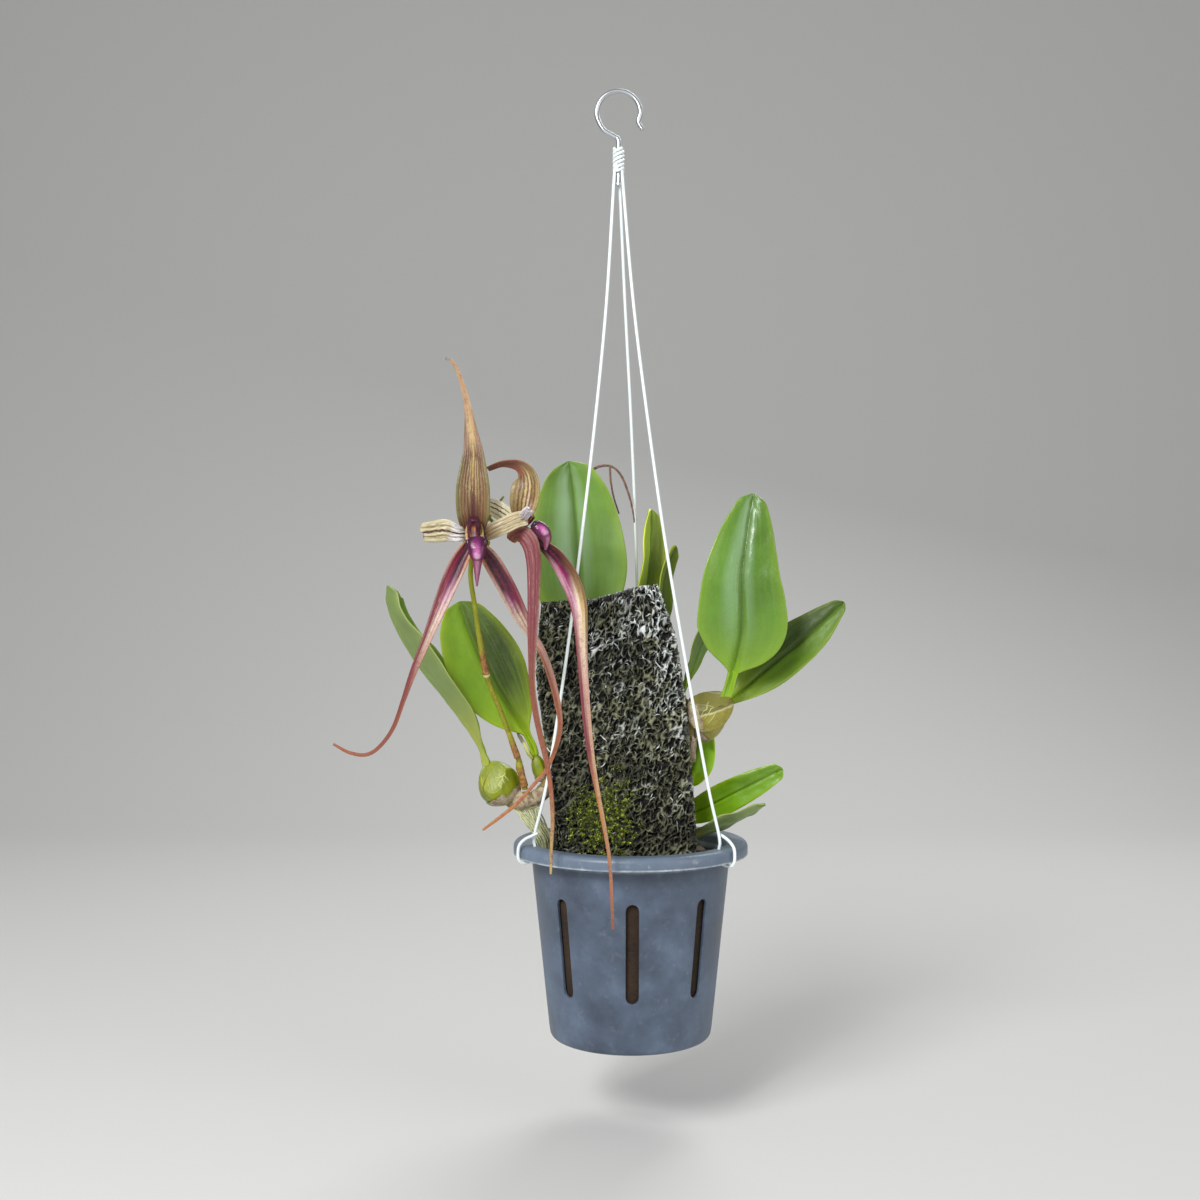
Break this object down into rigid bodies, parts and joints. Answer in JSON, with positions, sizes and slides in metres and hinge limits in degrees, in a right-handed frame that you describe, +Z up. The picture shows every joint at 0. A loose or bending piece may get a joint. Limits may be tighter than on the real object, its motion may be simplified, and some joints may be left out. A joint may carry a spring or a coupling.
{
  "type": "bulbophyllum orchid in a hanging pot",
  "caption": "Long-tailed bulbophyllum orchid in flower, creeping over a slab of tree-fern fibre that stands in a slotted plastic pot hung by stiff wires from a steel hook.",
  "frame": {"origin": "the point inside the top of the hanging hook's bend that bears on a rail or branch, straight above the wires' gathering point", "axes": "+Z up, -Y towards the side that the flowers face, +X to the right as the flowers are looked at"},
  "size_m": [0.3169, 0.1669, 0.6074],
  "materials": {
    "pot_plastic": "satin",
    "hanger_steel": "satin",
    "fern_fibre": "matte",
    "bark_mix": "matte",
    "rhizome_sheath": "matte",
    "root_skin": "matte",
    "bulb_skin": "satin",
    "leaf_blade": "satin",
    "leaf_underside": "matte",
    "flower_stem": "satin",
    "sepal_gold": "satin",
    "sepal_rose": "satin",
    "petal_cream": "satin",
    "column_purple": "gloss",
    "lip_purple": "gloss",
    "dried_stalk": "matte"
  },
  "bodies": {
    "root": {"pot": "pot_plastic", "fern_slab": "fern_fibre", "potting_mix": "bark_mix", "rhizome_left": "rhizome_sheath", "rhizome_right": "rhizome_sheath", "rhizome_back": "rhizome_sheath", "roots": "root_skin", "bulb_left": "bulb_skin", "bulb_left_young": "bulb_skin", "bulb_right": "bulb_skin", "bulb_right_rear": "bulb_skin", "bulb_back_left": "bulb_skin", "bulb_back_middle": "bulb_skin", "bulb_back_right": "bulb_skin", "bulb_back_upper": "bulb_skin", "bulb_back_inner": "bulb_skin", "bulb_back_low": "bulb_skin", "bulb_back_lowest": "bulb_skin", "leaf_left_edge": "leaf_underside", "leaf_left_front": "leaf_blade", "leaf_back_broad": "leaf_blade", "leaf_back_edge": "leaf_blade", "leaf_back_narrow": "leaf_blade", "leaf_right_broad": "leaf_blade", "leaf_right_rear": "leaf_blade", "leaf_right_hidden": "leaf_blade", "leaf_right_inner": "leaf_blade", "leaf_right_low": "leaf_blade", "leaf_right_lowest": "leaf_underside", "flower_stalk": "flower_stem", "flower1_column": "column_purple", "flower1_pedicel": "flower_stem", "flower1_lip": "lip_purple", "flower1_dorsal_sepal": "sepal_gold", "flower1_lateral_sepal_left": "sepal_rose", "flower1_lateral_sepal_right": "sepal_rose", "flower1_petal_left": "petal_cream", "flower1_petal_right": "petal_cream", "flower2_column": "column_purple", "flower2_pedicel": "flower_stem", "flower2_lip": "lip_purple", "flower2_dorsal_sepal": "sepal_gold", "flower2_lateral_sepal_left": "sepal_rose", "flower2_lateral_sepal_right": "sepal_rose", "flower2_petal_left": "petal_cream", "flower2_petal_right": "petal_cream", "old_stalk": "dried_stalk", "hanger_hook": "hanger_steel", "hanger_wire_left": "hanger_steel", "hanger_wire_right": "hanger_steel", "hanger_wire_back": "hanger_steel"}
  },
  "joints": []
}
